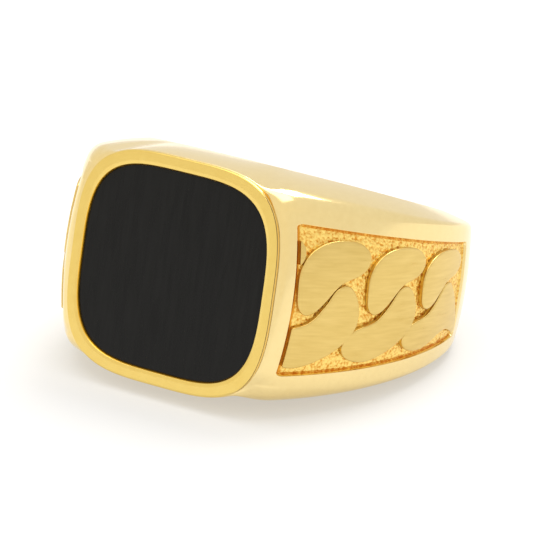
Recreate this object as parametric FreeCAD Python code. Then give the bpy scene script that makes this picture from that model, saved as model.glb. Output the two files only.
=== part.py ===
import FreeCAD, Part
import math
import os

# Signet ring with a flat cushion-shaped onyx table and a curb-link relief on each shoulder.
#
# All sizes are in millimetres.  The ring is drawn in its wearing frame first: the finger
# bore runs along Z, the table faces -Y, and the bore centre is the origin.  The finished
# pieces are then tilted together about X, so that the ring lies on one rim of its band,
# which is how it stands on a table: +Z is up and the table looks slightly upwards.

Vector = FreeCAD.Vector

# ---- driving dimensions ----
BORE_RADIUS = 9.9            # finger hole, 19.8 mm across, about US size 10
CREST_RADIUS = 10.1          # the band is widest on this circle, just outside the bore
CREST_HEIGHT = 5.64          # half the band's width at the middle of the bore
CREST_SLOPE = 0.205          # loss of half width per mm from the table towards the back
EDGE_HEIGHT = 4.82           # half width between the outer edges, at the middle of the bore
EDGE_SLOPE = 0.138           # loss of that half width per mm towards the back
EDGE_ROUND = 0.5             # radius on the outer edges of the band beside the finger
EDGE_ROUND_HEAD = 2.0        # the same radius where it is largest, at the head
SIDE_DOME = 0.03             # rise of the side faces above flat, beside the finger
SIDE_DOME_HEAD = 0.12        # the same rise at the head
HEAD_CORNER_ROUND = 0.5      # radius where the shoulders meet the flat under the plate
BACK_RADIUS = 12.4           # outside of the band behind the finger
SHOULDER_RADIUS = 20.0       # plan radius of the long arc from the back to the head
CROWN_RADIUS = 30.0          # the outside is crowned across its width by this radius
BLEND_ANGLE = 12.3           # where that arc leaves the back circle, degrees behind the middle
TABLE_DISTANCE = 14.1        # bore centre to the face of the table
PLATE_THICKNESS = 0.2        # the bezel plate stands this much proud of the flat on the head
TABLE_HALF_WIDTH = 7.80      # across the finger
TABLE_HALF_HEIGHT = 7.54     # along the finger
TABLE_POWERS = (3.7, 3.35)   # superellipse exponents of the cushion outline
PLATE_ROUND = 0.05           # radius on the plate's outer edge
RIM_BESIDE = 0.76            # gold rim beside the stone
RIM_ABOVE = 0.91             # gold rim above and below the stone
STONE_RECESS = 0.18          # the stone lies this much below the rim
STONE_THICKNESS = 1.3
STONE_GAP = 0.03             # play round the stone in its opening
CEMENT_THICKNESS = 0.2
POCKET_DEPTH = 0.30          # sunk field in each shoulder
POCKET_FRONT_Y = -13.2       # end of the field next to the table
POCKET_BACK_Y = 3.47         # end of the field beside the finger
POCKET_HALF_HEIGHT = 4.36    # at POCKET_REFERENCE_Y
POCKET_REFERENCE_Y = -7.0
POCKET_SLOPE = 0.108         # loss of that half height per mm towards the back
LINK_PITCH = 5.33            # distance from one curb link to the next
LINK_START_ARC = 12.15       # tail end of the first whole upper link, as an arc length along the
                             # shoulder from the widest point of its arc towards the table
FIRST_LINK_SHIFT = 0.25      # the cut link next to the table lies this much closer to its neighbour
LINK_PROUD = 0.08            # the links stand this much proud of the shoulder
LINK_END_GAP = 0.12          # gap between a link cut short and the end of the field
SECTION_STEP = 10            # degrees between the sections of the band

# Outlines of half a curb link: (distance along the shoulder from LINK_START_ARC towards the
# back, height as a share of the field's half height).  LINK_CORNER lets the last lower link
# fill the corner of the field.
UPPER_LINK = (
    (0.05, 0.10), (0.10, 0.40), (0.80, 0.65), (2.15, 0.82), (3.55, 0.87), (4.90, 0.81),
    (5.38, 0.66), (5.13, 0.50), (4.20, 0.36), (3.25, 0.27), (2.45, 0.10), (1.75, -0.07),
    (1.15, -0.16), (0.70, -0.17), (0.23, -0.08),
)
LOWER_LINK = (
    (-0.05, -0.35), (1.02, -0.28), (1.76, -0.14), (2.35, 0.03), (3.00, 0.21), (3.70, 0.25),
    (4.40, 0.12), (4.82, -0.12), (4.70, -0.40), (4.05, -0.58), (3.15, -0.72), (1.90, -0.84),
    (0.70, -0.89), (-0.35, -0.85), (-1.12, -0.75), (-1.36, -0.62), (-0.95, -0.45),
)
LINK_CORNER = ((4.00, 0.10), (5.95, -0.86), (3.55, -0.66), (3.00, 0.00))

FRONT_Y = -(TABLE_DISTANCE - PLATE_THICKNESS)
TILT = math.degrees(math.atan(CREST_SLOPE))
TALL = 40.0                  # longer than the ring in every direction
BLANK_RADIUS = TABLE_DISTANCE + 2.3    # the band's blank in front, before its flat is cut
blend = math.radians(BLEND_ANGLE)
SHOULDER_X = (BACK_RADIUS - SHOULDER_RADIUS) * math.cos(blend)
SHOULDER_Y = (BACK_RADIUS - SHOULDER_RADIUS) * math.sin(blend)


def superellipse_height(x, half_width, half_height):
    """Height of the cushion outline above its middle line at a distance x from its centre."""
    power_x, power_z = TABLE_POWERS
    share = min(1.0, abs(x) / half_width)
    return half_height * (1.0 - share ** power_x) ** (1.0 / power_z)


def cushion_wire(half_width, half_height, y):
    """Closed cushion outline in the plane at y."""
    power_x, power_z = TABLE_POWERS
    count = 48
    points = []
    for index in range(count):
        angle = 2.0 * math.pi * index / count
        cosine = math.cos(angle)
        sine = math.sin(angle)
        x = math.copysign(half_width * abs(cosine) ** (2.0 / power_x), cosine)
        z = math.copysign(half_height * abs(sine) ** (2.0 / power_z), sine)
        points.append(Vector(x, y, z))
    curve = Part.BSplineCurve()
    curve.interpolate(Points=points, PeriodicFlag=True)
    return Part.Wire(curve.toShape())


def cushion_slab(half_width, half_height, y_front, thickness):
    """Flat slab with the cushion outline, from y_front back towards the bore."""
    outline = cushion_wire(half_width, half_height, y_front)
    return Part.Face(outline).extrude(Vector(0, thickness, 0))


def opening_slab(play, y_front, thickness):
    """Slab as large as the stone's opening, less some play all round."""
    half_width = TABLE_HALF_WIDTH - RIM_BESIDE - play
    half_height = TABLE_HALF_HEIGHT - RIM_ABOVE - play
    return cushion_slab(half_width, half_height, y_front, thickness)


def outer_radius(angle):
    """Distance from the bore axis to the shoulder arc or the back circle, at a polar angle."""
    across = math.sin(angle)
    along = -math.cos(angle)
    half = across * SHOULDER_X + along * SHOULDER_Y
    rest = SHOULDER_X ** 2 + SHOULDER_Y ** 2 - SHOULDER_RADIUS ** 2
    radius = half + math.sqrt(half * half - rest)
    if radius * along > BACK_RADIUS * math.sin(blend):
        radius = BACK_RADIUS
    return min(radius, BLANK_RADIUS)


def crest_height(angle):
    """Half width of the band on the crest circle: both rims lie in planes."""
    return CREST_HEIGHT + CREST_SLOPE * CREST_RADIUS * math.cos(angle)


def edge_height(x, y):
    """Half width between the outer edges, which rises to the plate's outline at the head."""
    height = EDGE_HEIGHT - EDGE_SLOPE * y
    if y < FRONT_Y + 0.1:
        height = max(height, superellipse_height(x, TABLE_HALF_WIDTH, TABLE_HALF_HEIGHT))
    return height


def round_corner(before, corner, after, radius):
    """Start, middle and end of the arc that rounds a corner between two straight lines."""
    one = (before - corner).normalize()
    two = (after - corner).normalize()
    half = 0.5 * one.getAngle(two)
    reach = radius / math.tan(half)
    inward = (one + two).normalize()
    middle = corner + inward * (radius / math.sin(half) - radius)
    return corner + one * reach, middle, corner + two * reach


def towards_head(angle, beside, head):
    """A value that is `beside` next to and behind the finger and grows to `head` at the table."""
    return beside + (head - beside) * max(0.0, math.cos(angle)) ** 2


def crown_fall(z):
    """How much lower the crowned outside is at a height z than at the middle of the band."""
    return z * z / (2.0 * CROWN_RADIUS)


def band_section(degrees):
    """Section of the band at a polar angle: widest at the crest, narrower at the outer edge."""
    angle = math.radians(degrees)
    middle = outer_radius(angle)
    reference = min(middle, abs(FRONT_Y) / max(math.cos(angle), 0.1))
    crest = crest_height(angle)
    end = edge_height(reference * math.sin(angle), -reference * math.cos(angle))
    fall = (end - crest) / (reference - CREST_RADIUS)
    edge = crest + fall * (middle - CREST_RADIUS)
    outside = middle - crown_fall(edge)
    inside = BORE_RADIUS - 0.3
    bevel = crest - (CREST_RADIUS - inside)
    edge_round = towards_head(angle, EDGE_ROUND, EDGE_ROUND_HEAD)
    dome = towards_head(angle, SIDE_DOME, SIDE_DOME_HEAD)

    def at(radius, z):
        return Vector(radius * math.sin(angle), -radius * math.cos(angle), z)

    def side_face(sign):
        """Points of the domed side face, from the crest to the end of the outer edge's round."""
        quarter = CREST_RADIUS + 0.25 * (outside - CREST_RADIUS)
        half = CREST_RADIUS + 0.5 * (outside - CREST_RADIUS)
        quarter_point = at(quarter, sign * (0.75 * crest + 0.25 * edge + 0.75 * dome))
        half_point = at(half, sign * (0.5 * crest + 0.5 * edge + dome))
        below = at(middle - crown_fall(edge - 1.0), sign * (edge - 1.0))
        corner = round_corner(half_point, at(outside, sign * edge), below, edge_round)
        return [at(CREST_RADIUS, sign * crest), quarter_point, half_point] + list(corner)

    low = side_face(-1.0)
    high = side_face(1.0)[::-1]
    low_curve = Part.BSplineCurve()
    low_curve.interpolate(Points=low)
    high_curve = Part.BSplineCurve()
    high_curve.interpolate(Points=high)
    return Part.Wire([
        Part.makeLine(at(inside, bevel), at(inside, -bevel)),
        Part.makeLine(at(inside, -bevel), low[0]),
        low_curve.toShape(),
        Part.Arc(low[-1], at(middle, 0.0), high[0]).toShape(),
        high_curve.toShape(),
        Part.makeLine(high[-1], at(inside, bevel)),
    ])


def shoulder_barrel(radius):
    """Solid of revolution about the shoulder arc's own axis, crowned like the band's outside."""
    reach = 8.0
    rim = radius - crown_fall(reach)
    crown = Part.Arc(Vector(rim, 0, -reach), Vector(radius, 0, 0), Vector(rim, 0, reach))
    profile = Part.Wire([
        crown.toShape(),
        Part.makeLine(Vector(rim, 0, reach), Vector(0, 0, reach)),
        Part.makeLine(Vector(0, 0, reach), Vector(0, 0, -reach)),
        Part.makeLine(Vector(0, 0, -reach), Vector(rim, 0, -reach)),
    ])
    barrel = Part.Face(profile).revolve(Vector(0, 0, 0), Vector(0, 0, 1), 360)
    barrel.translate(Vector(SHOULDER_X, SHOULDER_Y, 0))
    return barrel


def shoulder_point(arc, radius, z):
    """Point at an arc length along the shoulder, on a radius about the shoulder's axis."""
    angle = arc / SHOULDER_RADIUS
    return Vector(SHOULDER_X + radius * math.cos(angle), SHOULDER_Y - radius * math.sin(angle), z)


def pocket_half_height(y):
    return POCKET_HALF_HEIGHT - POCKET_SLOPE * (y - POCKET_REFERENCE_Y)


def pocket_space(inset):
    """Space that holds the field of one shoulder, inset at its two ends."""
    front_y = POCKET_FRONT_Y + inset
    back_y = POCKET_BACK_Y - inset
    front_half = pocket_half_height(front_y)
    back_half = pocket_half_height(back_y)
    corners = [
        Vector(0, front_y, -front_half),
        Vector(0, front_y, front_half),
        Vector(0, back_y, back_half),
        Vector(0, back_y, -back_half),
    ]
    return Part.Face(Part.makePolygon(corners + corners[:1])).extrude(Vector(TALL, 0, 0))


def link_points(start_arc, outline):
    """Outline of a link as (arc length along the shoulder, height) pairs."""
    points = []
    for along, share in outline:
        arc = start_arc - along
        y = shoulder_point(arc, SHOULDER_RADIUS, 0.0).y
        points.append((arc, share * pocket_half_height(y)))
    return points


def link_solid(number, outline, corner=()):
    """One flat curb link lying in the field, its top following the shoulder."""
    start_arc = LINK_START_ARC - (number - 1) * LINK_PITCH
    if number == 0:
        start_arc -= FIRST_LINK_SHIFT
    points = link_points(start_arc, outline)
    middle_arc = sum(arc for arc, z in points) / len(points)
    normal = (shoulder_point(middle_arc, 1.0, 0.0) - shoulder_point(middle_arc, 0.0, 0.0)).normalize()
    tangent = Vector(0, 0, 1).cross(normal)
    base = shoulder_point(middle_arc, SHOULDER_RADIUS - 2.0, 0.0)

    def laid_flat(pairs):
        swings = [SHOULDER_RADIUS * math.sin((middle_arc - arc) / SHOULDER_RADIUS) for arc, z in pairs]
        return [base + tangent * swing + Vector(0, 0, z) for swing, (arc, z) in zip(swings, pairs)]

    curve = Part.BSplineCurve()
    curve.interpolate(Points=laid_flat(points), PeriodicFlag=True)
    prism = Part.Face(Part.Wire(curve.toShape())).extrude(normal * 4.0)
    if corner:
        flat = laid_flat(link_points(start_arc, corner))
        prism = prism.fuse(Part.Face(Part.makePolygon(flat + flat[:1])).extrude(normal * 4.0))
    top = shoulder_barrel(SHOULDER_RADIUS + LINK_PROUD)
    floor = shoulder_barrel(SHOULDER_RADIUS - POCKET_DEPTH)
    return prism.common(pocket_space(LINK_END_GAP)).common(top).cut(floor).removeSplitter()


def mirrored(shape):
    return shape.mirror(Vector(0, 0, 0), Vector(1, 0, 0))


def make_shank():
    """Band, shoulders and head block in one piece, with the stone seat and both fields."""
    overlap = 2 * SECTION_STEP
    sections = [band_section(angle) for angle in range(-overlap, 181 + overlap, SECTION_STEP)]
    right_side = Part.makeBox(TALL, TALL, TALL, Vector(0, -0.5 * TALL, -0.5 * TALL))
    half = Part.makeLoft(sections, True).common(right_side)
    band = half.fuse(mirrored(half)).removeSplitter()
    band = band.cut(Part.makeCylinder(BORE_RADIUS, TALL, Vector(0, 0, -0.5 * TALL)))
    front = Part.makeBox(TALL, TALL, TALL, Vector(-0.5 * TALL, FRONT_Y - TALL, -0.5 * TALL))
    band = band.cut(front)
    corners = [edge for edge in band.Edges
               if edge.BoundBox.YMax < FRONT_Y + 0.01 and edge.BoundBox.ZLength > 6.0]
    band = band.makeFillet(HEAD_CORNER_ROUND, corners)
    seat_depth = STONE_RECESS + STONE_THICKNESS + CEMENT_THICKNESS - PLATE_THICKNESS
    band = band.cut(opening_slab(0.0, FRONT_Y, seat_depth))
    field = pocket_space(0.0).cut(shoulder_barrel(SHOULDER_RADIUS - POCKET_DEPTH))
    return band.cut(field).cut(mirrored(field))


def make_bezel_plate():
    """Cushion-shaped frame on the flat of the head, which holds the stone all round."""
    plate = cushion_slab(TABLE_HALF_WIDTH, TABLE_HALF_HEIGHT, -TABLE_DISTANCE, PLATE_THICKNESS)
    front_edges = [edge for edge in plate.Edges if edge.BoundBox.YMax < -TABLE_DISTANCE + 0.01]
    plate = plate.makeFillet(PLATE_ROUND, front_edges)
    return plate.cut(opening_slab(0.0, -TABLE_DISTANCE, PLATE_THICKNESS))


def make_stone():
    return opening_slab(STONE_GAP, STONE_RECESS - TABLE_DISTANCE, STONE_THICKNESS)


def make_cement():
    return opening_slab(STONE_GAP, STONE_RECESS + STONE_THICKNESS - TABLE_DISTANCE, CEMENT_THICKNESS)


def make_links():
    """The links of the right shoulder, by name; the field's ends cut some of them short."""
    links = {}
    for number in range(4):
        links["upper_link_%d" % number] = link_solid(number, UPPER_LINK)
    for number in range(1, 4):
        corner = LINK_CORNER if number == 3 else ()
        links["lower_link_%d" % number] = link_solid(number, LOWER_LINK, corner)
    return links


def export(name, shape):
    """Tilt a piece into the lying position and write it."""
    piece = shape.copy()
    piece.rotate(Vector(0, 0, 0), Vector(1, 0, 0), -TILT)
    piece.exportStep("parts/%s.step" % name)
    print(name, piece.isValid(), len(piece.Solids), round(piece.Volume, 3))


os.makedirs("parts", exist_ok=True)
export("shank", make_shank())
export("bezel_plate", make_bezel_plate())
export("onyx_inlay", make_stone())
export("stone_cement", make_cement())
for link_name, link in make_links().items():
    export("right_" + link_name, link)
    export("left_" + link_name, mirrored(link))
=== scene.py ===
import math

import bmesh
import bpy
import numpy as np
from mathutils import Matrix, Vector, geometry


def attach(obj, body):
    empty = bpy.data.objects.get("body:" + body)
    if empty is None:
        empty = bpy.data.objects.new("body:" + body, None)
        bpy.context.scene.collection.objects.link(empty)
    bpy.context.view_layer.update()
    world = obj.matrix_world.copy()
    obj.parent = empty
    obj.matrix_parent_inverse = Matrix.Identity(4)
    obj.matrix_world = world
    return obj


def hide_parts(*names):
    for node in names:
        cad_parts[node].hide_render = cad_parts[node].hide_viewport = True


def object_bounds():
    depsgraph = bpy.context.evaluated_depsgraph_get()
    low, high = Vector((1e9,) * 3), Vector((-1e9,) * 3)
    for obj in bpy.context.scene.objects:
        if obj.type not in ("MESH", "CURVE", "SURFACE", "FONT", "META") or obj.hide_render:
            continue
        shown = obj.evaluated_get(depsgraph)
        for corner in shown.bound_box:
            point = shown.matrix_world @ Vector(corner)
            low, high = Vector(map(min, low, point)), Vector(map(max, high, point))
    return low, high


# The looks of a signet ring: polished band, stippled fields with satin curb links, a bezel
# plate and a black stone.  Shapes are worked out in millimetres in the ring's wearing frame
# (bore along Z, table facing -Y), then tilted and scaled into the frame of the CAD model.

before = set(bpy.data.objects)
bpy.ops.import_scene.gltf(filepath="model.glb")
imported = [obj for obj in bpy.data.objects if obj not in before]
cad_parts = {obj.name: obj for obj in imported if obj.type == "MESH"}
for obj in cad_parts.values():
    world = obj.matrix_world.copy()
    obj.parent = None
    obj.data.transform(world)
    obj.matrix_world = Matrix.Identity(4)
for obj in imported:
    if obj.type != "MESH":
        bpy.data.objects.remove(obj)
cad_low, cad_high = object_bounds()

# ---- sizes shared with the CAD model, in millimetres ----
BORE_RADIUS = 9.9
CREST_RADIUS = 10.1
CREST_HEIGHT = 5.64
CREST_SLOPE = 0.205
EDGE_HEIGHT = 4.82
EDGE_SLOPE = 0.138
BACK_RADIUS = 12.4
SHOULDER_RADIUS = 20.0
CROWN_RADIUS = 30.0
BLEND = math.radians(12.3)
TABLE_Y = -14.1
FLAT_Y = -13.9
TABLE_HALF = (7.80, 7.54)
STONE_HALF = (7.04, 6.63)
TABLE_POWERS = (3.7, 3.35)
STONE_TOP_Y = -13.92
STONE_BACK_Y = -12.62
STONE_GAP = 0.03
SEAT_Y = -12.52
POCKET_FRONT_Y = -13.2
POCKET_BACK_Y = 3.47
POCKET_DEPTH = 0.30
POCKET_HALF_HEIGHT = 4.36
POCKET_TAPER = 0.108
POCKET_TAPER_Y = -7.0
LINK_PITCH = 5.33
LINK_START_ARC = 12.15
FIRST_LINK_SHIFT = 0.36
LINK_PROUD = 0.08
LINK_END_GAP = (0.18, 0.05)
TILT = math.atan(CREST_SLOPE)
SHOULDER_X = (BACK_RADIUS - SHOULDER_RADIUS) * math.cos(BLEND)
SHOULDER_Y = (BACK_RADIUS - SHOULDER_RADIUS) * math.sin(BLEND)

# ---- sizes that only the looks need ----
EDGE_ROUND = (0.5, 2.0)    # outer edges of the band: beside the finger and at the head
EDGE_ROUND_LEAST = 0.06    # outer edge where the plate's outline reaches it
EDGE_ROUND_SHARE = 0.8     # share of the room beside the plate that the outer edge takes up
EDGE_ROUND_SOFTNESS = 0.5  # and how gently it shrinks to that
EDGE_ROUND_ZONE = 0.1      # it shrinks only this near the flat
EDGE_ROUND_REACH = 0.6     # share of its radius that the rounding takes off the side face
EDGE_ROUND_STEP = 0.7      # share of it over which the outside's direction is taken
SIDE_DOME = (0.03, 0.12)   # rise of the side faces above flat: beside the finger, at the head
HEAD_SOFTNESS = (0.25, 1.0)  # how gently the shoulders run into the flat: middle and edges
SOFT_FROM = 4.6            # that grows from this height on
SOFT_RUN = 1.8             # and has fully grown this much further out
EDGE_SOFTNESS = 0.25       # how gently the outer edge turns up to the plate's outline
EDGE_RISE_START = 0.9      # it turns up from this far behind the flat
EDGE_RISE_RUN = 0.8        # and follows the outline this much further on
CREST_ROUND = 0.25         # comfort edge between the bore and the side faces
NECK_MARGIN = 0.09         # the neck ends this far outside the field, before its wall is stretched
FIELD_EDGE = 0.03          # the field's edge starts to round this far outside its outline
FIELD_WALL = 0.08          # and its floor is reached this far inside it
FIELD_CORNER = 0.25        # radius in the corners of the field
FRONT_WALL = 1.8           # the wall next to the table is stretched this many times
FIELD_REACH = 4.9          # about half the height of the field's floor where it is widest
FLOOR_START = 0.3          # the stippled finish starts at this share of the wall's width
GRID = 0.06                # spacing of the mesh on the stippled floor
GRAIN_HEIGHT = 0.09        # relief of the stippled floor
GRAIN_CELLS = (0.22, 0.14)   # sizes of its coarse and its fine grains
GRAIN_SHARES = (0.45, 0.55)  # and how much each adds to the relief
# painted shade on the stippled floor: orange darkening along the field's walls and between the grains
SHADE_RUN = 0.12           # the grains rise and the shading fades over this distance
SHADE_START = (0.04, 0.14)  # the shading starts to fade here: beside the links, next to the table
SHADE_DEPTH = (0.35, 0.9)  # and is this deep at the wall, at the same two places
HOLLOW_PAINTED_SHADE_LEVEL = (0.75, 1.1)  # shading between the grains, and how much a full grain takes off it
SEAT_POWER = 0.28          # turns the outline's level into a share of the distance from the middle
SEAT_REACH = 6.8           # distance from the middle to the stone's outline, on average
SEAT_GAP = 0.05            # the seat is level this far outside the stone
SEAT_WALL = 0.3            # and its wall is this wide
FOOT_DEPTH = 0.1           # the plate reaches this far into the head
PLATE_ROUND = (0.02, 0.15)  # edge of the plate's face: beside the shoulders, above and below
PLATE_TURN = (0.45, 0.3)   # the plate's wall starts to count as beside the shoulders where it
                           # faces this far sideways, and counts in full this much further on
GROOVE_DEPTH = 0.015       # fine groove along the plate's wall beside the shoulders
WALL_STEPS = (             # (depth, share of the wall's height) from the flat up to the face
    (0.0, 0.0), (0.0, 0.25), (0.0, 0.50), (GROOVE_DEPTH, 0.55), (GROOVE_DEPTH, 0.96), (0.0, 1.0),
)
OPENING_SLOPE = 0.06       # the opening's wall slopes this far to either side of its outline
STONE_ROUND = 0.06         # edge of the stone's face
WHOLE_LINK = 8.0           # a link with a longer outline than this counts as whole
LINK_ROOT = 0.02           # a link reaches this far into the floor of the field
LINK_ROUND = (0.10, 0.05)  # edge of a link's face: a whole link, the tip of one
LINK_SPACING = (0.07, 0.05)  # distance of the points along the outline, for the same two
LINK_SOFTENING = (3, 6)    # rounds of softening that take off the sharp corners left by the cut
LATTICE_SPACING = 0.22     # distance of the points on a link's face
LATTICE_MARGIN = 0.12      # and how far they stay inside its edge
ROW_STEP = 0.866           # rows of a triangular lattice, in spacings

# ---- how many points the curved surfaces have ----
OUTLINE_POINTS = 360       # round the plate and the stone
SEARCH_REACH = 20.0        # further out than any outline, in millimetres
SPLINE_POINTS = 400        # round a link before it is cut
CREST_POINTS = 9
SIDE_POINTS = 18
EDGE_POINTS = 15
MARGIN_POINTS = 12         # from the outer edge to the field
FLAT_STATIONS = 64
NECK_STATIONS = 6
BACK_STATIONS = 70

UPPER_LINK = (
    (0.05, 0.10), (0.10, 0.40), (0.80, 0.65), (2.15, 0.82), (3.55, 0.87), (4.90, 0.81),
    (5.38, 0.66), (5.13, 0.50), (4.20, 0.36), (3.25, 0.27), (2.45, 0.10), (1.75, -0.07),
    (1.15, -0.16), (0.70, -0.17), (0.23, -0.08),
)
LOWER_LINK = (
    (-0.05, -0.35), (1.02, -0.28), (1.76, -0.14), (2.35, 0.03), (3.00, 0.21), (3.70, 0.25),
    (4.40, 0.12), (4.82, -0.12), (4.70, -0.40), (4.05, -0.58), (3.15, -0.72), (1.90, -0.84),
    (0.70, -0.89), (-0.35, -0.85), (-1.12, -0.75), (-1.36, -0.62), (-0.95, -0.45),
)
LOWER_LINK_LAST = (
    (-0.05, -0.35), (1.02, -0.28), (1.76, -0.14), (2.35, 0.03), (3.00, 0.21), (3.70, 0.25),
    (4.40, 0.12), (5.95, -0.86), (4.70, -0.72), (3.15, -0.72), (1.90, -0.84),
    (0.70, -0.89), (-0.35, -0.85), (-1.12, -0.75), (-1.36, -0.62), (-0.95, -0.45),
)


# ---------------------------------------------------------------- helpers
def to_frame(points):
    """Wearing-frame millimetres to the CAD model's frame in metres."""
    x, y, z = np.asarray(points, float).T
    cosine, sine = math.cos(TILT), math.sin(TILT)
    return np.stack([x, y * cosine + z * sine, -y * sine + z * cosine], -1) * 0.001


def smoothstep(value):
    value = np.clip(value, 0.0, 1.0)
    return value * value * (3.0 - 2.0 * value)


def mesh_piece(name, points, faces, materials, nodes):
    """A piece from wearing-frame points that rides on the ring and stands for CAD nodes."""
    mesh = bpy.data.meshes.new(name)
    mesh.from_pydata(to_frame(points).tolist(), [], faces)
    mesh.validate()
    for material in materials:
        mesh.materials.append(material)
    mesh.polygons.foreach_set("use_smooth", [True] * len(mesh.polygons))
    mesh.update()
    piece = bpy.data.objects.new(name, mesh)
    bpy.context.scene.collection.objects.link(piece)
    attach(piece, "root")
    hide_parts(*nodes)
    return piece


def fix_normals(piece):
    """Turns every face of a closed piece outwards."""
    shell = bmesh.new()
    shell.from_mesh(piece.data)
    bmesh.ops.recalc_face_normals(shell, faces=shell.faces)
    shell.to_mesh(piece.data)
    shell.free()


def grid_faces(columns, rows, closed_columns, closed_rows):
    """Quads of a grid of vertices numbered column by column."""
    column = np.arange(columns if closed_columns else columns - 1)
    row = np.arange(rows if closed_rows else rows - 1)
    c, r = np.meshgrid(column, row, indexing="ij")
    c2, r2 = (c + 1) % columns, (r + 1) % rows
    return np.stack([c * rows + r, c2 * rows + r, c2 * rows + r2, c * rows + r2], -1).reshape(-1, 4)


# ---------------------------------------------------------------- the band's surface
def crown_fall(z):
    return z * z / (2.0 * CROWN_RADIUS)


def pocket_half_height(y):
    return POCKET_HALF_HEIGHT - POCKET_TAPER * (y - POCKET_TAPER_Y)


def shoulder_at_y(y, z):
    """Point and plan normal of the shoulder or the back circle at a given y and height."""
    radius = SHOULDER_RADIUS - crown_fall(z)
    back_radius = BACK_RADIUS - crown_fall(z)
    on_back = y > back_radius * math.sin(BLEND)
    sine = np.clip((SHOULDER_Y - y) / radius, -1, 1)
    cosine = np.sqrt(1.0 - sine * sine)
    back_sine = np.clip(y / back_radius, -1, 1)
    back_cosine = np.sqrt(1.0 - back_sine * back_sine)
    x = np.where(on_back, back_radius * back_cosine, SHOULDER_X + radius * cosine)
    nx = np.where(on_back, back_cosine, cosine)
    ny = np.where(on_back, back_sine, -sine)
    return x, nx, ny


def soft_min(one, other, softness):
    """The smaller of two values, with a smooth change from one to the other."""
    return 0.5 * (one + other - np.sqrt((one - other) ** 2 + softness ** 2))


def towards_head(angle, ends):
    """A value that grows from beside the finger to the head."""
    return ends[0] + (ends[1] - ends[0]) * max(0.0, math.cos(angle)) ** 2


def barrel_distance(angle, z):
    """Distance from the bore axis to the crowned outside, before the head's flat is cut."""
    across, along = np.sin(angle), -np.cos(angle)
    radius = SHOULDER_RADIUS - crown_fall(z)
    half = across * SHOULDER_X + along * SHOULDER_Y
    reached = half + np.sqrt(half * half - SHOULDER_X ** 2 - SHOULDER_Y ** 2 + radius ** 2)
    back_radius = BACK_RADIUS - crown_fall(z)
    return np.where(reached * along > back_radius * math.sin(BLEND), back_radius, reached)


def flat_cut(angle, distance, z):
    """Distance after the flat under the plate has been cut; its corner softens to the edges."""
    # beside and behind the finger the limit keeps the flat far outside the band
    flat = abs(FLAT_Y) / np.maximum(np.cos(angle), 0.2)
    near_edge = smoothstep((np.abs(z) - SOFT_FROM) / SOFT_RUN)
    softness = HEAD_SOFTNESS[0] + (HEAD_SOFTNESS[1] - HEAD_SOFTNESS[0]) * near_edge
    return soft_min(distance, flat, softness)


def outer_point(kind, share, z):
    """Points (x, y) and plan normals of the outside at a station, for an array of heights.

    Stations: "flat" runs from the middle of the head to its corner, "neck" on to the field,
    "side" along the field (share is y), "back" round the finger.
    """
    radius = SHOULDER_RADIUS - crown_fall(z)
    if kind == "flat":
        corner = SHOULDER_X + np.sqrt(radius ** 2 - (SHOULDER_Y - FLAT_Y) ** 2)
        angle = np.arctan2(corner * share, abs(FLAT_Y))
        distance = barrel_distance(angle, z)
        nx, ny = 0.0 * z, 0.0 * z - 1.0
    else:
        back_radius = BACK_RADIUS - crown_fall(z)
        start = np.arcsin((POCKET_BACK_Y + 2.0 * FIELD_EDGE) / back_radius)
        if kind == "neck":
            y = 0.0 * z + FLAT_Y + share * (POCKET_FRONT_Y - FRONT_WALL * NECK_MARGIN - FLAT_Y)
        elif kind == "side":
            y = 0.0 * z + share
        else:
            y = back_radius * np.sin(start + share * (0.5 * math.pi - start))
        x, nx, ny = shoulder_at_y(y, z)
        angle = np.arctan2(x, -y)
        distance = np.hypot(x, y)
    distance = flat_cut(angle, distance, z)
    return distance * np.sin(angle), -distance * np.cos(angle), nx, ny


def table_outline_height(x):
    share = np.clip(np.abs(x) / TABLE_HALF[0], 0, 1)
    return TABLE_HALF[1] * (1.0 - share ** TABLE_POWERS[0]) ** (1.0 / TABLE_POWERS[1])


def edge_height(x, y):
    """Half width between the outer edges, which rises to the plate's outline at the head."""
    height = EDGE_HEIGHT - EDGE_SLOPE * y
    near_flat = float(smoothstep((FLAT_Y + EDGE_RISE_START - y) / EDGE_RISE_RUN))
    raised = -float(soft_min(-height, -float(table_outline_height(x)), EDGE_SOFTNESS))
    return height + near_flat * (raised - height)


def arc_between(corner, one, two, radius, count):
    """Points of the arc that rounds a corner between two unit directions that leave it."""
    half = 0.5 * math.acos(float(np.clip(one @ two, -1, 1)))
    centre = corner + (one + two) / np.linalg.norm(one + two) * (radius / math.sin(half))
    reach = radius / math.tan(half)
    start = corner + one * reach - centre
    end = corner + two * reach - centre
    whole = math.acos(float(np.clip(start @ end / (radius * radius), -1, 1)))
    shares = np.linspace(0.0, 1.0, count)
    return np.array([
        centre + (start * math.sin((1 - s) * whole) + end * math.sin(s * whole)) / math.sin(whole)
        for s in shares
    ])


def edge_rounding(angle, x, y, edge):
    """Radius of the outer edge, which shrinks where the plate's outline reaches the edge."""
    radius = towards_head(angle, EDGE_ROUND)
    if y > FLAT_Y + EDGE_ROUND_ZONE:
        return radius
    margin = max(0.0, edge - float(table_outline_height(x)))
    room = EDGE_ROUND_SHARE * margin + EDGE_ROUND_LEAST
    return max(EDGE_ROUND_LEAST, float(soft_min(radius, room, EDGE_ROUND_SOFTNESS)))


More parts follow.
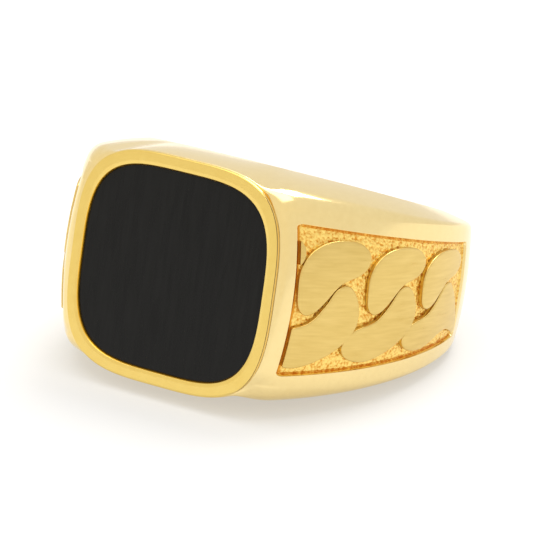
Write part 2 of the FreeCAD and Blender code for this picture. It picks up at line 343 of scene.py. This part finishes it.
def side_profile(angle):
    """(distance, height) points of a section: crest, domed side face and rounded outer edge."""

    def outside(z):
        return float(flat_cut(angle, barrel_distance(angle, z), z))

    middle = outside(0.0)
    x, y = middle * math.sin(angle), -middle * math.cos(angle)
    crest = CREST_HEIGHT + CREST_SLOPE * CREST_RADIUS * math.cos(angle)
    edge = edge_height(x, y)
    corner = np.array([outside(edge), edge])
    rounding = edge_rounding(angle, x, y, edge)
    slope = (edge - crest) / (corner[0] - CREST_RADIUS)
    # a dome's end is steeper than its chord by four times the rise over the run
    chord = corner[0] - CREST_RADIUS - EDGE_ROUND_REACH * rounding
    slope -= 4.0 * towards_head(angle, SIDE_DOME) / chord
    inward = np.array([-1.0, -slope]) / math.hypot(1.0, slope)
    # the direction of the outside, from the corner to a little below it
    step = EDGE_ROUND_STEP * rounding
    down = np.array([outside(edge - step), edge - step]) - corner
    down /= np.linalg.norm(down)
    edge_arc = arc_between(corner, inward, down, rounding, EDGE_POINTS)
    start = edge_arc[0]
    run = CREST_RADIUS - start[0]
    bend = (crest - start[1] - slope * run) / run ** 2

    def face(distance):
        run = distance - start[0]
        return start[1] + slope * run + bend * run * run

    bore_slope = slope + 2.0 * bend * (BORE_RADIUS - start[0])
    along = np.array([1.0, bore_slope]) / math.hypot(1.0, bore_slope)
    bore_corner = np.array([BORE_RADIUS, face(BORE_RADIUS)])
    crest_arc = arc_between(bore_corner, np.array([0.0, -1.0]), along, CREST_ROUND, CREST_POINTS)
    distances = np.linspace(crest_arc[-1][0], start[0], SIDE_POINTS)[1:-1]
    profile = np.concatenate([crest_arc, np.stack([distances, face(distances)], -1), edge_arc])
    resting_plane = CREST_HEIGHT + CREST_SLOPE * profile[:, 0] * math.cos(angle)
    profile[:, 1] = np.minimum(profile[:, 1], resting_plane)
    return profile


def column_angle(kind, share):
    """Polar angle at which a station's outside meets the end of its outer edge's round."""
    height = 5.5  # a first guess, which the rounds below settle
    for _ in range(8):
        x, y, _, _ = outer_point(kind, share, np.array([height]))
        angle = math.atan2(float(x[0]), -float(y[0]))
        height = float(side_profile(angle)[-1][1])
    return angle


def field_depth(inside):
    """Depth of the field at a distance inside its outline: rounded edge, wall, filleted foot."""
    share = np.clip((inside + FIELD_EDGE) / (FIELD_EDGE + FIELD_WALL), 0.0, 1.0)
    return POCKET_DEPTH * share ** 3 * (10.0 - 15.0 * share + 6.0 * share * share)


def pebbles(u, v, cell):
    """Relief of a stippled surface, 0 to 1: rounded grains on a jittered lattice."""
    base_u, base_v = np.floor(u / cell), np.floor(v / cell)
    best = np.zeros_like(u)
    for du in (-1, 0, 1):
        for dv in (-1, 0, 1):
            cu, cv = base_u + du, base_v + dv
            jitter_u = np.sin(cu * 127.1 + cv * 311.7) * 43758.5453 % 1.0
            jitter_v = np.sin(cu * 269.5 + cv * 183.3) * 24634.6345 % 1.0
            size = np.sin(cu * 419.2 + cv * 371.9) * 13758.1453 % 1.0
            distance = np.hypot(u / cell - cu - jitter_u, v / cell - cv - jitter_v)
            bump = 1.0 - np.clip(distance / (0.55 + 0.45 * size), 0, 1) ** 2
            best = np.maximum(best, bump * (0.5 + 0.5 * size))
    return best


def sink_field(y, heights, half, outer, normal):
    """Presses the field into one column of the outside; tells its floor and the painted shade of its
    hollows.
    """
    beside = half - np.abs(heights)
    ends = min((y - POCKET_FRONT_Y) / FRONT_WALL, POCKET_BACK_Y - y)
    inside = np.minimum(beside, ends)
    near = (beside < FIELD_CORNER) & (ends < FIELD_CORNER)
    rounded = FIELD_CORNER - np.hypot(FIELD_CORNER - beside, FIELD_CORNER - ends)
    inside = np.where(near, rounded, inside)
    swing = np.clip((SHOULDER_Y - y) / SHOULDER_RADIUS, -1.0, 1.0)
    arc = SHOULDER_RADIUS * math.asin(swing) + 0.0 * heights
    # the two lattices start at different places, so that they don't line up
    coarse = pebbles(arc + 40.0, heights + 40.0, GRAIN_CELLS[0])
    fine = pebbles(arc + 80.0, heights + 7.0, GRAIN_CELLS[1])
    grain = GRAIN_SHARES[0] * coarse + GRAIN_SHARES[1] * fine
    on_floor = smoothstep((inside - FIELD_WALL) / SHADE_RUN)
    depth = field_depth(inside) - on_floor * GRAIN_HEIGHT * grain
    # painted shade: orange darkening along the field's walls, deepest next to the table, and between the
    # grains
    wall_shade = SHADE_DEPTH[0] * (1.0 - smoothstep((beside - SHADE_START[0]) / SHADE_RUN))
    from_front = y - POCKET_FRONT_Y
    front_shade = SHADE_DEPTH[1] * (1.0 - float(smoothstep((from_front - SHADE_START[1]) / SHADE_RUN)))
    shade = HOLLOW_PAINTED_SHADE_LEVEL[0] - HOLLOW_PAINTED_SHADE_LEVEL[1] * grain + wall_shade + front_shade
    on_field = inside > FLOOR_START * FIELD_WALL
    return outer - normal * depth[:, None], on_field, np.clip(shade, 0.0, 1.0)


def build_band(materials):
    """The band in columns round the finger, each a closed section; the left half mirrors the right."""
    # distances inside the field's outline at which its walls are sampled
    walls = np.array([-0.08, -0.04, -0.025, -0.01, 0.0, 0.01, 0.02, 0.03, 0.04, 0.05, 0.06, 0.07,
                      0.08, 0.09, 0.105, 0.12, 0.15, 0.19])
    inner = walls[-1]
    inside_rows = np.linspace(1.0, -1.0, int(2 * FIELD_REACH / GRID))[1:-1]
    stations = [("flat", s) for s in np.linspace(0.0, 1.0, FLAT_STATIONS)]
    stations += [("neck", s) for s in np.linspace(0.0, 1.0, NECK_STATIONS)[1:-1]]
    stations += [("side", POCKET_FRONT_Y + FRONT_WALL * w) for w in walls]
    count = int((POCKET_BACK_Y - POCKET_FRONT_Y - 2 * inner) / GRID)
    along = np.linspace(POCKET_FRONT_Y + FRONT_WALL * inner, POCKET_BACK_Y - inner, count)
    stations += [("side", y) for y in along[1:-1]]
    stations += [("side", POCKET_BACK_Y - w) for w in walls[::-1]]
    stations += [("back", s) for s in np.linspace(0.0, 1.0, BACK_STATIONS)[1:]]

    columns, floors, hollow_painted_shades = [], [], []
    for kind, share in stations:
        angle = column_angle(kind, share)
        profile = side_profile(angle)
        distance = profile[:, 0]
        side = np.stack([distance * math.sin(angle), -distance * math.cos(angle), profile[:, 1]], -1)
        half = pocket_half_height(max(POCKET_FRONT_Y, -profile[-1][0] * math.cos(angle)))
        wall_top = half - walls
        margin = np.linspace(profile[-1][1], wall_top[0], MARGIN_POINTS)[1:-1]
        upper_rows = np.concatenate([margin, wall_top])
        heights = np.concatenate([upper_rows, inside_rows * wall_top[-1], -upper_rows[::-1]])
        x, y, nx, ny = outer_point(kind, share, heights)
        outer = np.stack([x, y, heights], -1)
        normal = np.stack([nx, ny, heights / CROWN_RADIUS], -1)
        normal /= np.linalg.norm(normal, axis=1)[:, None]
        floor, hollow_painted_shade = np.zeros(len(heights), bool), np.zeros(len(heights))
        if kind == "side":
            outer, floor, hollow_painted_shade = sink_field(share, heights, half, outer, normal)
        if kind == "flat":
            beyond = (cushion_level(x, heights, *STONE_HALF) ** SEAT_POWER - 1.0) * SEAT_REACH
            outer[:, 1] += (SEAT_Y - FLAT_Y) * (1.0 - smoothstep((beyond - SEAT_GAP) / SEAT_WALL))
        bore_top = profile[0][1]
        bore = np.array([[BORE_RADIUS * math.sin(angle), -BORE_RADIUS * math.cos(angle), bore_top * s]
                         for s in (0.0, 0.25, 0.5, 0.75)])
        upper = np.concatenate([bore, side])
        lower = upper[:0:-1] * np.array([1.0, 1.0, -1.0])
        columns.append(np.concatenate([upper, outer, lower]))
        # the rest of the section is neither floor nor painted shade
        rest = (len(upper), len(lower))
        floors.append(np.pad(floor, rest))
        hollow_painted_shades.append(np.pad(hollow_painted_shade, rest))
    right = np.array(columns)
    left = right[-2:0:-1] * np.array([-1.0, 1.0, 1.0])
    points = np.concatenate([right, left])
    flags = np.concatenate([floors, floors[-2:0:-1]]).reshape(-1)
    shades = np.concatenate([hollow_painted_shades, hollow_painted_shades[-2:0:-1]]).reshape(-1)
    faces = grid_faces(points.shape[0], points.shape[1], True, True)
    band = mesh_piece("band", points.reshape(-1, 3), faces.tolist(), materials, ["shank"])
    on_floor = flags[faces].all(axis=1)
    band.data.polygons.foreach_set("material_index", on_floor.astype(np.int32))
    # painted shade for the stippled floor, stored on the points
    shade = band.data.attributes.new("hollow_painted_shade", "FLOAT", "POINT")
    shade.data.foreach_set("value", shades.astype(np.float32))


# ---------------------------------------------------------------- plate and stone
def cushion_level(x, z, half_width, half_height):
    """Below 1 inside the cushion shape, 1 on its outline and above 1 outside it."""
    return np.abs(x / half_width) ** TABLE_POWERS[0] + np.abs(z / half_height) ** TABLE_POWERS[1]


def cushion(half_width, half_height):
    """Outline points and outward normals of the cushion shape."""
    angle = np.linspace(0.0, 2.0 * math.pi, OUTLINE_POINTS, endpoint=False)
    cosine, sine = np.cos(angle), np.sin(angle)
    low, high = np.zeros(OUTLINE_POINTS), np.full(OUTLINE_POINTS, SEARCH_REACH)
    for _ in range(50):
        middle = 0.5 * (low + high)
        level = cushion_level(middle * cosine, middle * sine, half_width, half_height)
        high = np.where(level > 1.0, middle, high)
        low = np.where(level > 1.0, low, middle)
    x, z = low * cosine, low * sine
    nx = np.sign(x) * TABLE_POWERS[0] * np.abs(x / half_width) ** (TABLE_POWERS[0] - 1) / half_width
    nz = np.sign(z) * TABLE_POWERS[1] * np.abs(z / half_height) ** (TABLE_POWERS[1] - 1) / half_height
    size = np.hypot(nx, nz)
    return np.stack([x, z], -1), np.stack([nx / size, nz / size], -1)


def loop(outline, normals, inset, y):
    """The outline as a ring of points at y, moved inwards along its normals."""
    flat = outline - normals * inset
    return np.stack([flat[:, 0], np.zeros(len(flat)) + y, flat[:, 1]], -1)


def quarter(radius, count):
    """(inset, drop) pairs round a quarter circle, from the wall to the face."""
    angles = np.linspace(0.0, 0.5 * math.pi, count)
    return [(radius * (1.0 - math.cos(a)), radius * (1.0 - math.sin(a))) for a in angles]


def build_plate(materials):
    """The satin rim and its polished wall, with a fine groove in the wall beside the shoulders, coloured
    dark as painted shade.
    """
    outer, outer_normal = cushion(*TABLE_HALF)
    inner, inner_normal = cushion(*STONE_HALF)
    beside = smoothstep((np.abs(outer_normal[:, 0]) - PLATE_TURN[0]) / PLATE_TURN[1])
    rounding = PLATE_ROUND[1] + (PLATE_ROUND[0] - PLATE_ROUND[1]) * beside
    foot = FLAT_Y + FOOT_DEPTH
    loops = [loop(outer, outer_normal, 0.0, foot)]
    for inset, share in WALL_STEPS:
        y = FLAT_Y - share * (FLAT_Y - TABLE_Y - rounding)
        loops.append(loop(outer, outer_normal, (inset * beside)[:, None], y))
    wall_loops = len(loops)
    for inset, drop in quarter(1.0, 7):
        y = TABLE_Y + drop * rounding
        loops.append(loop(outer, outer_normal, (inset * rounding)[:, None], y))
    edge = outer - outer_normal * (rounding + 0.01)[:, None]
    lip = inner + inner_normal * OPENING_SLOPE
    for share in (0.0, 0.33, 0.67, 1.0):
        loops.append(loop(edge * (1 - share) + lip * share, outer_normal, 0.0, TABLE_Y))
    opening_loops = len(loops)
    loops += [loop(inner, inner_normal, inset, y) for inset, y in
              ((-0.7 * OPENING_SLOPE, TABLE_Y + 0.02), (OPENING_SLOPE, STONE_TOP_Y - 0.01))]
    loops.append(loop(inner, inner_normal, 0.0, foot))
    points = np.concatenate(loops)
    faces = grid_faces(len(loops), len(outer), True, True)
    piece = mesh_piece("bezel", points, faces.tolist(), materials, ["bezel_plate"])
    # finishes: 0 the face, 1 the wall, 2 the groove in it, darkened with painted shade, 3 the opening's
    # wall, orange with a painted reflection
    depths = np.array([0.0] + [inset for inset, _ in WALL_STEPS])
    in_groove = np.zeros(len(loops), bool)
    in_groove[:wall_loops - 1] = depths[:-1] + depths[1:] > 0.0
    at_loop, at_corner = np.divmod(np.arange(len(faces)), len(outer))
    finish = np.where(at_loop < wall_loops, 1, 0)
    finish = np.where(in_groove[at_loop] & (beside[at_corner] > 0.5), 2, finish)
    finish = np.where(at_loop >= opening_loops, 3, finish)
    piece.data.polygons.foreach_set("material_index", finish.astype(np.int32))
    fix_normals(piece)


def build_stone(material):
    """The flat stone: its back and its face in rings, closed in the middle by one polygon each."""
    half_width, half_height = STONE_HALF[0] - STONE_GAP, STONE_HALF[1] - STONE_GAP
    outline, normal = cushion(half_width, half_height)
    loops = [loop(outline * share, normal, 0.0, STONE_BACK_Y) for share in (0.1, 0.5, 0.9)]
    loops.append(loop(outline, normal, 0.0, STONE_BACK_Y))
    loops += [loop(outline, normal, inset, STONE_TOP_Y + drop) for inset, drop in quarter(STONE_ROUND, 5)]
    edge = outline - normal * STONE_ROUND
    loops += [loop(edge * share, normal, 0.0, STONE_TOP_Y) for share in (0.96, 0.85, 0.6, 0.3, 0.1)]
    points = np.concatenate(loops)
    count = len(outline)
    faces = grid_faces(len(loops), count, False, True).tolist()
    faces.append(list(range(count)))
    faces.append(list(range((len(loops) - 1) * count, len(loops) * count)))
    piece = mesh_piece("onyx", points, faces, [material], ["onyx_inlay"])
    fix_normals(piece)


# ---------------------------------------------------------------- links
def smooth_closed(points, count):
    """Periodic cubic spline through the points, resampled evenly by length."""
    points = np.asarray(points, float)
    n = len(points)
    chord = np.hypot(*(np.roll(points, -1, axis=0) - points).T)
    # the spline's second derivatives, from one equation for each point
    system, right = np.zeros((n, n)), np.zeros((n, 2))
    for i in range(n):
        before, after = chord[i - 1], chord[i]
        system[i, i - 1] += before
        system[i, i] += 2.0 * (before + after)
        system[i, (i + 1) % n] += after
        ahead, behind = points[(i + 1) % n] - points[i], points[i] - points[i - 1]
        right[i] = 6.0 * (ahead / after - behind / before)
    second = np.linalg.solve(system, right)
    fine = []
    for i in range(n):
        j = (i + 1) % n
        h = chord[i]
        for s in np.linspace(0.0, h, 24, endpoint=False):
            a, b = (h - s) / h, s / h
            bend = ((a ** 3 - a) * second[i] + (b ** 3 - b) * second[j]) * h * h / 6.0
            fine.append(a * points[i] + b * points[j] + bend)
    return even_loop(np.array(fine), count)


def even_loop(points, count):
    """A closed loop resampled to points that are evenly spaced along it."""
    closed = np.vstack([points, points[:1]])
    length = np.concatenate([[0.0], np.cumsum(np.hypot(*np.diff(closed, axis=0).T))])
    wanted = np.linspace(0.0, length[-1], count, endpoint=False)
    return np.stack([np.interp(wanted, length, closed[:, k]) for k in (0, 1)], -1)


def clip_loop(points, y_low, y_high):
    """The part of a loop of (y, z) points between two limits of y."""
    for limit, sign in ((y_low, 1.0), (y_high, -1.0)):
        kept = []
        for a, b in zip(points, np.roll(points, -1, axis=0)):
            inside_a, inside_b = sign * (a[0] - limit) >= 0, sign * (b[0] - limit) >= 0
            if inside_a:
                kept.append(a)
            if inside_a != inside_b:
                kept.append(a + (b - a) * (limit - a[0]) / (b[0] - a[0]))
        points = np.array(kept)
    return points


def soften(points, rounds):
    """Rounds the corners of an evenly spaced loop a little."""
    for _ in range(rounds):
        points = 0.5 * points + 0.25 * (np.roll(points, 1, axis=0) + np.roll(points, -1, axis=0))
    return points


def link_outline(number, table):
    """Closed outline of a link as (y, z), cut off a little inside the field's ends."""
    shift = FIRST_LINK_SHIFT if number == 0 else 0.0
    start = LINK_START_ARC - (number - 1) * LINK_PITCH - shift
    pairs = []
    for along, share in table:
        angle = (start - along) / SHOULDER_RADIUS
        y = SHOULDER_Y - SHOULDER_RADIUS * math.sin(angle)
        pairs.append((y, share * pocket_half_height(y)))
    fine = smooth_closed(pairs, SPLINE_POINTS)
    return clip_loop(fine, POCKET_FRONT_Y + LINK_END_GAP[0], POCKET_BACK_Y - LINK_END_GAP[1])


def inset_loop(points, distance):
    """A closed loop moved inwards by a distance."""
    ahead, behind = np.roll(points, -1, axis=0), np.roll(points, 1, axis=0)
    tangent = ahead - behind
    tangent /= np.maximum(np.hypot(*tangent.T), 1e-9)[:, None]
    normal = np.stack([-tangent[:, 1], tangent[:, 0]], -1)
    area = 0.5 * np.sum(points[:, 0] * ahead[:, 1] - points[:, 1] * ahead[:, 0])
    return points + normal * (distance if area > 0 else -distance)


def lift(pairs, height):
    """(y, z) pairs to points on the right shoulder, raised along its normal."""
    y, z = pairs[:, 0], pairs[:, 1]
    x, nx, ny = shoulder_at_y(y, z)
    normal = np.stack([nx, ny, z / CROWN_RADIUS], -1)
    normal /= np.linalg.norm(normal, axis=1)[:, None]
    return np.stack([x, y, z], -1) + normal * np.asarray(height).reshape(-1, 1)


def face_lattice(inner):
    """Triangular lattice of points inside a closed loop."""
    low, high = inner.min(0), inner.max(0)
    lattice = []
    row = 0
    z = low[1]
    while z < high[1]:
        y = low[0] + (row % 2) * 0.5 * LATTICE_SPACING
        while y < high[0]:
            lattice.append((y, z))
            y += LATTICE_SPACING
        z += LATTICE_SPACING * ROW_STEP
        row += 1
    lattice = np.array(lattice)
    inside = points_inside(lattice, inset_loop(inner, LATTICE_MARGIN))
    return lattice[inside & (nearest(lattice, inner) > LATTICE_MARGIN)]


def build_link(name, number, table, material):
    """A link on each shoulder: rounded rim in rings, and a triangulated face that follows the crown."""
    outline = link_outline(number, table)
    perimeter = np.hypot(*(np.roll(outline, -1, axis=0) - outline).T).sum()
    kind = 0 if perimeter > WHOLE_LINK else 1
    count = int(perimeter / LINK_SPACING[kind])
    outline = soften(even_loop(outline, count), LINK_SOFTENING[kind])
    loops, heights = [outline], [-POCKET_DEPTH - LINK_ROOT]
    for inset, drop in quarter(LINK_ROUND[kind], 7):
        loops.append(inset_loop(outline, inset))
        heights.append(LINK_PROUD - drop)
    points = [lift(pairs, np.full(count, h)) for pairs, h in zip(loops, heights)]
    faces = grid_faces(len(loops), count, False, True).tolist()
    # the face: the last loop and a lattice of points inside it
    flat = [Vector(p) for p in np.vstack([loops[-1], face_lattice(loops[-1])])]
    edges = [(i, (i + 1) % count) for i in range(count)]
    corners, _, triangles, sources, _, _ = geometry.delaunay_2d_cdt(flat, edges, [], 1, 1e-6)
    base = (len(loops) - 1) * count
    index, added = [], []
    for corner, origin in zip(corners, sources):
        on_rim = [k for k in origin if k < count]
        if on_rim:
            index.append(base + on_rim[0])
        else:
            index.append(base + count + len(added))
            added.append(corner)
    points.append(lift(np.array(added), np.full(len(added), LINK_PROUD)))
    for triangle in triangles:
        face = [index[k] for k in triangle]
        if len(set(face)) == 3:
            faces.append(face)
    faces.append(list(range(count)))
    points = np.concatenate(points)
    for side, sign in (("right", 1.0), ("left", -1.0)):
        full_name = "%s_%s" % (side, name)
        placed = points * np.array([sign, 1.0, 1.0])
        piece = mesh_piece(full_name, placed, faces, [material], [full_name])
        fix_normals(piece)


def points_inside(points, polygon):
    """Which points lie inside a closed polygon, by counting crossings."""
    x, y = points[:, 0][:, None], points[:, 1][:, None]
    a, b = polygon, np.roll(polygon, -1, axis=0)
    crosses = (a[:, 1] > y) != (b[:, 1] > y)
    at = (b[:, 0] - a[:, 0]) * (y - a[:, 1]) / (b[:, 1] - a[:, 1] + 1e-12) + a[:, 0]
    return (crosses & (x < at)).sum(1) % 2 == 1


def nearest(points, polygon):
    """Distance from each point to the nearest corner of a polygon."""
    across = points[:, 0][:, None] - polygon[:, 0]
    along = points[:, 1][:, None] - polygon[:, 1]
    return np.min(np.hypot(across, along), axis=1)


# ---------------------------------------------------------------- materials
# colours of the stippled floor: its own gold, and the deep orange of painted shade between the grains and
# along the walls
STIPPLE_TOP = (0.97, 0.71, 0.21)
STIPPLE_PAINTED_SHADE = (0.70, 0.29, 0.03)
ONYX_DARK = (0.002, 0.002, 0.002)
ONYX_LIGHT = (0.005, 0.005, 0.005)
FLOOR_DARK = (0.46, 0.46, 0.465)
FLOOR_LIGHT = (0.475, 0.475, 0.475)
FLOOR_GLOW = 0.40


def new_material(name):
    """A node material, with its tree and its shader."""
    material = bpy.data.materials.new(name)
    material.use_nodes = True
    tree = material.node_tree
    shader = tree.nodes["Principled BSDF"]
    return material, tree, shader


def add(tree, kind, **settings):
    """A new node with some of its settings."""
    node = tree.nodes.new(kind)
    for key, value in settings.items():
        setattr(node, key, value)
    return node


def ring_coordinates(tree, scale):
    """Coordinates along the ring's own axes, stretched to draw out lines."""
    place = add(tree, "ShaderNodeTexCoord")
    upright = add(tree, "ShaderNodeMapping")
    upright.inputs["Rotation"].default_value = (TILT, 0.0, 0.0)
    stretch = add(tree, "ShaderNodeMapping")
    stretch.inputs["Scale"].default_value = scale
    tree.links.new(place.outputs["Object"], upright.inputs["Vector"])
    tree.links.new(upright.outputs["Vector"], stretch.inputs["Vector"])
    return stretch.outputs["Vector"]


def noise(tree, vector, scale, detail):
    node = add(tree, "ShaderNodeTexNoise")
    node.inputs["Scale"].default_value = scale
    node.inputs["Detail"].default_value = detail
    tree.links.new(vector, node.inputs["Vector"])
    return node.outputs["Fac"]


def ramp(tree, factor, low, high, start=0.3, end=0.7):
    node = add(tree, "ShaderNodeValToRGB")
    node.color_ramp.elements[0].color = (*low, 1)
    node.color_ramp.elements[1].color = (*high, 1)
    node.color_ramp.elements[0].position = start
    node.color_ramp.elements[1].position = end
    tree.links.new(factor, node.inputs["Fac"])
    return node.outputs["Color"]


def spread(tree, factor, low, high):
    """A factor from 0 to 1 turned into a range of values."""
    node = add(tree, "ShaderNodeMapRange")
    node.inputs["To Min"].default_value = low
    node.inputs["To Max"].default_value = high
    tree.links.new(factor, node.inputs["Value"])
    return node.outputs["Result"]


def bumped(tree, height, strength, distance):
    node = add(tree, "ShaderNodeBump")
    node.inputs["Strength"].default_value = strength
    node.inputs["Distance"].default_value = distance
    tree.links.new(height, node.inputs["Height"])
    return node.outputs["Normal"]


def gold(name, dark, light, rough, grain, bump, lines=(1.0, 1.0, 1.0)):
    """Yellow gold whose grain shows in its colour, gloss and relief."""
    material, tree, shader = new_material(name)
    fine = noise(tree, ring_coordinates(tree, lines), grain, 4.0)
    broad = noise(tree, ring_coordinates(tree, (1.0, 1.0, 1.0)), 260.0, 2.0)
    both = add(tree, "ShaderNodeMath", operation="MULTIPLY_ADD")
    both.inputs[1].default_value = 0.3
    tree.links.new(broad, both.inputs[0])
    tree.links.new(spread(tree, fine, 0.0, 0.7), both.inputs[2])
    tree.links.new(ramp(tree, both.outputs[0], dark, light), shader.inputs["Base Color"])
    tree.links.new(spread(tree, fine, *rough), shader.inputs["Roughness"])
    tree.links.new(bumped(tree, fine, bump, 0.00002), shader.inputs["Normal"])
    shader.inputs["Metallic"].default_value = 1.0
    return material


def stippled_gold():
    """The floor of the fields: bright grains, with painted shade in deep orange between them and along
    the walls.
    """
    material, tree, shader = new_material("stippled_gold")
    # painted shade worked out for the band, darkest between the grains and at the field's walls
    hollow_painted_shade = add(tree, "ShaderNodeAttribute", attribute_name="hollow_painted_shade")
    fine = noise(tree, ring_coordinates(tree, (1.0, 1.0, 1.0)), 9000.0, 3.0)
    both = add(tree, "ShaderNodeMath", operation="MULTIPLY_ADD")
    both.inputs[1].default_value = 0.8
    tree.links.new(fine, both.inputs[0])
    tree.links.new(hollow_painted_shade.outputs["Fac"], both.inputs[2])
    colour = ramp(tree, both.outputs[0], STIPPLE_TOP, STIPPLE_PAINTED_SHADE, 0.45, 1.0)
    tree.links.new(colour, shader.inputs["Base Color"])
    tree.links.new(spread(tree, fine, 0.24, 0.48), shader.inputs["Roughness"])
    tree.links.new(bumped(tree, fine, 0.5, 0.00003), shader.inputs["Normal"])
    shader.inputs["Metallic"].default_value = 1.0
    return material


def onyx_material():
    material, tree, shader = new_material("black_onyx")
    grain = noise(tree, ring_coordinates(tree, (1.0, 0.35, 0.12)), 3000.0, 6.0)
    tree.links.new(ramp(tree, grain, ONYX_DARK, ONYX_LIGHT), shader.inputs["Base Color"])
    tree.links.new(spread(tree, grain, 0.22, 0.34), shader.inputs["Roughness"])
    tree.links.new(bumped(tree, grain, 0.05, 0.00001), shader.inputs["Normal"])
    shader.inputs["Specular IOR Level"].default_value = 0.2
    return material


def floor_material():
    """A pale floor lit a little from below, as on a light table."""
    material, tree, shader = new_material("pale_floor")
    mottle = noise(tree, ring_coordinates(tree, (1.0, 1.0, 1.0)), 30.0, 2.0)
    tree.links.new(ramp(tree, mottle, FLOOR_DARK, FLOOR_LIGHT), shader.inputs["Base Color"])
    shader.inputs["Roughness"].default_value = 0.9
    shader.inputs["Specular IOR Level"].default_value = 0.1
    shader.inputs["Emission Color"].default_value = (1.0, 1.0, 1.0, 1.0)
    shader.inputs["Emission Strength"].default_value = FLOOR_GLOW
    return material


polished = gold("polished_gold", dark=(0.87, 0.68, 0.32), light=(0.90, 0.72, 0.35),
                rough=(0.13, 0.19), grain=2600.0, bump=0.05)
satin_plate = gold("satin_gold", dark=(0.82, 0.59, 0.165), light=(0.85, 0.63, 0.19),
                   rough=(0.20, 0.26), grain=1500.0, bump=0.02)
brushed = gold("brushed_gold", dark=(0.67, 0.47, 0.14), light=(0.79, 0.58, 0.205),
               rough=(0.24, 0.36), grain=5200.0, bump=0.25, lines=(0.1, 0.1, 1.0))
# painted shade: the groove beside the shoulders is coloured a dark gold in place of the shade and dark
# reflections in it
groove_painted_shade_gold = gold("groove_painted_shade_gold", dark=(0.22, 0.13, 0.035), light=(0.30, 0.18, 0.055),
                   rough=(0.35, 0.45), grain=2600.0, bump=0.05)
# painted reflection: the opening's wall is coloured a saturated orange in place of the warm reflection
# along the stone's edge
opening_painted_reflection_gold = gold("opening_painted_reflection_gold", dark=(0.90, 0.46, 0.03), light=(0.96, 0.54, 0.05),
                    rough=(0.25, 0.35), grain=2600.0, bump=0.05)
stippled = stippled_gold()
onyx = onyx_material()

build_band([polished, stippled])
build_plate([satin_plate, polished, groove_painted_shade_gold, opening_painted_reflection_gold])
build_stone(onyx)
for link_number in range(4):
    build_link("upper_link_%d" % link_number, link_number, UPPER_LINK, brushed)
for link_number in (1, 2):
    build_link("lower_link_%d" % link_number, link_number, LOWER_LINK, brushed)
build_link("lower_link_3", 3, LOWER_LINK_LAST, brushed)

# the adhesive keeps its CAD shape; the same nodes serve for its pale, dull surface
cement = gold("set_epoxy", dark=(0.50, 0.46, 0.38), light=(0.60, 0.55, 0.45),
              rough=(0.45, 0.55), grain=900.0, bump=0.1)
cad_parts["stone_cement"].data.materials.clear()
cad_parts["stone_cement"].data.materials.append(cement)

# ---------------------------------------------------------------- floor, light and camera
SKY_FRONT = (1.00, 0.95, 0.83)
SKY_BACK = (0.93, 0.92, 0.91)
FLOOR_REACH = 1.5
floor_mesh = bpy.data.meshes.new("floor")
corner_signs = ((-1, -1), (1, -1), (1, 1), (-1, 1))
floor_corners = [(FLOOR_REACH * x, FLOOR_REACH * y, cad_low.z) for x, y in corner_signs]
floor_mesh.from_pydata(floor_corners, [], [(0, 1, 2, 3)])
floor_mesh.materials.append(floor_material())
floor = bpy.data.objects.new("floor", floor_mesh)
bpy.context.scene.collection.objects.link(floor)

world = bpy.data.worlds.new("studio")
bpy.context.scene.world = world
world.use_nodes = True
sky = world.node_tree
direction = add(sky, "ShaderNodeTexCoord")
parts = add(sky, "ShaderNodeSeparateXYZ")
sky.links.new(direction.outputs["Generated"], parts.inputs["Vector"])
towards_back = spread(sky, parts.outputs["Y"], 0.0, 1.0)
towards_back.node.inputs["From Min"].default_value = -1.0
backdrop = sky.nodes["Background"]
sky.links.new(ramp(sky, towards_back, SKY_FRONT, SKY_BACK, 0.1, 0.9), backdrop.inputs["Color"])
backdrop.inputs["Strength"].default_value = 1.0


def area_light(name, azimuth, elevation, distance, size, power):
    """A soft box that looks at the ring from a direction."""
    lamp = bpy.data.lights.new(name, "AREA")
    lamp.shape = "RECTANGLE"
    lamp.size, lamp.size_y = size
    lamp.energy = power
    light = bpy.data.objects.new(name, lamp)
    a, e = math.radians(azimuth), math.radians(elevation)
    back = Vector((math.sin(a) * math.cos(e), -math.cos(a) * math.cos(e), math.sin(e)))
    light.location = back * distance
    light.rotation_mode = "QUATERNION"
    light.rotation_quaternion = back.to_track_quat("Z", "Y")
    bpy.context.scene.collection.objects.link(light)


area_light("back_light", azimuth=180.0, elevation=60.0, distance=0.5, size=(0.22, 0.22), power=1.3)
area_light("overhead", azimuth=-30.0, elevation=80.0, distance=0.6, size=(0.5, 0.5), power=1.2)

# the camera's direction in the wearing frame, its distance, and how far the ring is off centre
CAMERA_AZIMUTH = 30.774
CAMERA_ELEVATION = 10.480
CAMERA_ROLL = 8.146
CAMERA_DISTANCE = 260.42
CAMERA_SHIFT = (1.236, 0.7232)
CAMERA_LENS = 260.28
SENSOR_WIDTH = 36.0
NEAR_LIMIT = 0.01
azimuth, elevation, roll = (math.radians(v) for v in (CAMERA_AZIMUTH, CAMERA_ELEVATION, CAMERA_ROLL))
back = np.array([
    math.sin(azimuth) * math.cos(elevation),
    -math.cos(azimuth) * math.cos(elevation),
    math.sin(elevation),
])
level = np.array([math.cos(azimuth), math.sin(azimuth), 0.0])
above = np.cross(back, level)
right = level * math.cos(roll) + above * math.sin(roll)
up = above * math.cos(roll) - level * math.sin(roll)
place = back * CAMERA_DISTANCE - right * CAMERA_SHIFT[0] - up * CAMERA_SHIFT[1]
axes = to_frame(np.array([right, up, back])) * 1000.0
position = to_frame(np.array([place]))[0]
camera_data = bpy.data.cameras.new("camera")
camera_data.sensor_width = SENSOR_WIDTH
camera_data.lens = CAMERA_LENS
camera_data.clip_start = NEAR_LIMIT
camera = bpy.data.objects.new("camera", camera_data)
camera.matrix_world = Matrix((
    (axes[0][0], axes[1][0], axes[2][0], position[0]),
    (axes[0][1], axes[1][1], axes[2][1], position[1]),
    (axes[0][2], axes[1][2], axes[2][2], position[2]),
    (0.0, 0.0, 0.0, 1.0),
))
bpy.context.scene.collection.objects.link(camera)
bpy.context.scene.camera = camera
bpy.context.scene.view_settings.view_transform = "Standard"
